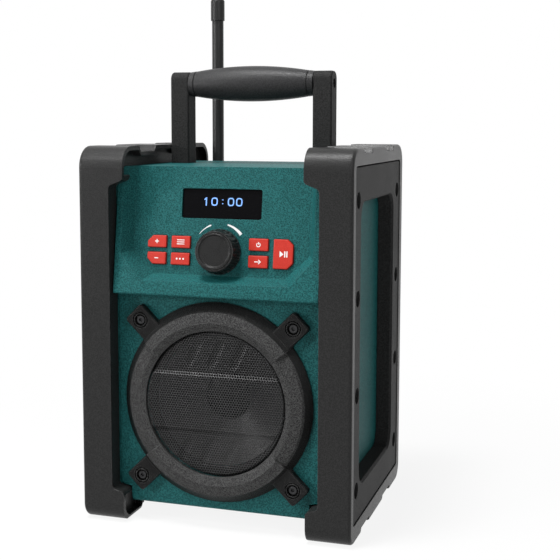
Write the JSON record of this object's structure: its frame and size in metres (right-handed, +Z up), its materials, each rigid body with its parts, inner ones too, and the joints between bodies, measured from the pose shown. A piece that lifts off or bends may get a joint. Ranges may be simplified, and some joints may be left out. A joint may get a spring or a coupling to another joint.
{
  "type": "jobsite_radio",
  "caption": "Upright jobsite radio: green speckled cabinet in two black impact cages, round speaker, keypad with knob, bar handle, folding aerial, rear battery bay.",
  "frame": {"origin": "On the floor, under the middle of the two cages.", "axes": "+X to the radio's right as seen from the front, +Y to the back, +Z up. The speaker and controls face -Y."},
  "size_m": [0.21, 0.176, 0.407],
  "materials": {
    "cabinet_green": "green speckled moulded plastic, satin",
    "guard_black": "black moulded impact guard, fine grain, light scuffs",
    "plate_black": "black moulded plastic, fine grain",
    "trim_grey": "dark grey textured plastic",
    "key_orange": "red-orange silicone keys",
    "lens_black": "glossy black display window",
    "grille_black": "black painted perforated steel",
    "screw_steel": "blackened steel screws",
    "bright_steel": "bright plated steel",
    "antenna_black": "black rubber-sleeved aerial",
    "grip_black": "soft black grip, fine grain",
    "board_green": "green circuit board laminate",
    "cone_black": "black pressed paper cone",
    "coil_copper": "copper winding",
    "magnet_grey": "grey ferrite",
    "cell_wrap": "dark plain cell sleeve",
    "seal_black": "black soft seal",
    "sink_aluminium": "extruded aluminium",
    "spider_yellow": "resin-dipped cloth",
    "knob_black": "black moulded knob, fluted side",
    "dome_black": "black glossy dust cap",
    "legend_white": "white printed symbols",
    "digit_blue": "lit blue digits behind the window"
  },
  "bodies": {
    "chassis": {"front_cabinet": "cabinet_green", "rear_cabinet": "guard_black", "cabinet_gasket": "seal_black", "rear_screws": "screw_steel", "cage_rim_right": "guard_black", "cage_rim_left": "guard_black", "side_plate_right": "plate_black", "side_plate_left": "plate_black", "side_screws_right": "screw_steel", "side_screws_left": "screw_steel", "speaker_ring": "trim_grey", "ring_screws": "screw_steel", "speaker_grille": "grille_black", "speaker_basket": "grille_black", "speaker_screws": "screw_steel", "speaker_surround": "seal_black", "spider": "spider_yellow", "front_pole_plate": "bright_steel", "magnet_ring": "magnet_grey", "back_plate_pole": "bright_steel", "display_lens": "lens_black", "display_module": "plate_black", "control_board": "board_green", "board_screws": "screw_steel", "key_switches": "plate_black", "encoder_body": "plate_black", "handle_arm_right": "plate_black", "handle_arm_left": "plate_black", "handle_grip": "grip_black", "handle_bolts": "screw_steel", "antenna_base": "plate_black", "antenna_pin": "bright_steel", "battery_cells": "cell_wrap", "battery_contacts": "bright_steel", "battery_door_pin": "bright_steel", "port_cover_pin": "bright_steel", "power_socket": "plate_black", "aux_socket": "plate_black", "main_board": "board_green", "heat_sink": "sink_aluminium"},
    "key_tune_up": {"button_tune_up": "key_orange"},
    "key_tune_down": {"button_tune_down": "key_orange"},
    "key_info": {"button_info": "key_orange"},
    "key_preset": {"button_preset": "key_orange"},
    "key_power": {"button_power": "key_orange"},
    "key_source": {"button_source": "key_orange"},
    "key_enter": {"button_enter": "key_orange"},
    "knob_body": {"volume_knob": "knob_black", "encoder_shaft": "bright_steel"},
    "cone_body": {"speaker_cone": "cone_black", "dust_cap": "dome_black", "voice_coil": "coil_copper"},
    "antenna_body": {"antenna_knuckle": "plate_black", "antenna_rod": "antenna_black", "antenna_cap": "antenna_black"},
    "door_body": {"battery_door": "plate_black"},
    "flap_body": {"port_cover": "seal_black"}
  },
  "joints": [
    {"name": "press_tune_up", "type": "slide", "parent": "chassis", "child": "key_tune_up", "axis": [0, 0.9903, -0.1392], "range_m": [0, 0.001], "stiffness_N_per_m": 150},
    {"name": "press_tune_down", "type": "slide", "parent": "chassis", "child": "key_tune_down", "axis": [0, 0.9903, -0.1392], "range_m": [0, 0.001], "stiffness_N_per_m": 150},
    {"name": "press_info", "type": "slide", "parent": "chassis", "child": "key_info", "axis": [0, 0.9903, -0.1392], "range_m": [0, 0.001], "stiffness_N_per_m": 150},
    {"name": "press_preset", "type": "slide", "parent": "chassis", "child": "key_preset", "axis": [0, 0.9903, -0.1392], "range_m": [0, 0.001], "stiffness_N_per_m": 150},
    {"name": "press_power", "type": "slide", "parent": "chassis", "child": "key_power", "axis": [0, 0.9903, -0.1392], "range_m": [0, 0.001], "stiffness_N_per_m": 150},
    {"name": "press_source", "type": "slide", "parent": "chassis", "child": "key_source", "axis": [0, 0.9903, -0.1392], "range_m": [0, 0.001], "stiffness_N_per_m": 150},
    {"name": "press_enter", "type": "slide", "parent": "chassis", "child": "key_enter", "axis": [0, 0.9903, -0.1392], "range_m": [0, 0.001], "stiffness_N_per_m": 150},
    {"name": "knob_turn", "type": "hinge", "parent": "chassis", "child": "knob_body", "pos_m": [0, -0.08024, 0.20937], "axis": [0, -0.9903, 0.1392], "continuous": true},
    {"name": "cone_travel", "type": "slide", "parent": "chassis", "child": "cone_body", "axis": [0, 1, 0], "range_m": [-0.0015, 0.0015], "stiffness_N_per_m": 600},
    {"name": "antenna_fold", "type": "hinge", "parent": "chassis", "child": "antenna_body", "pos_m": [-0.052, 0.067, 0.256], "axis": [-1, 0, 0], "range_deg": [0, 90]},
    {"name": "battery_door_swing", "type": "hinge", "parent": "chassis", "child": "door_body", "pos_m": [0, 0.0789, 0.0356], "axis": [-1, 0, 0], "range_deg": [0, 100]},
    {"name": "port_cover_swing", "type": "hinge", "parent": "chassis", "child": "flap_body", "pos_m": [0.037, 0.078, 0.1485], "axis": [-1, 0, 0], "range_deg": [0, 90]}
  ]
}
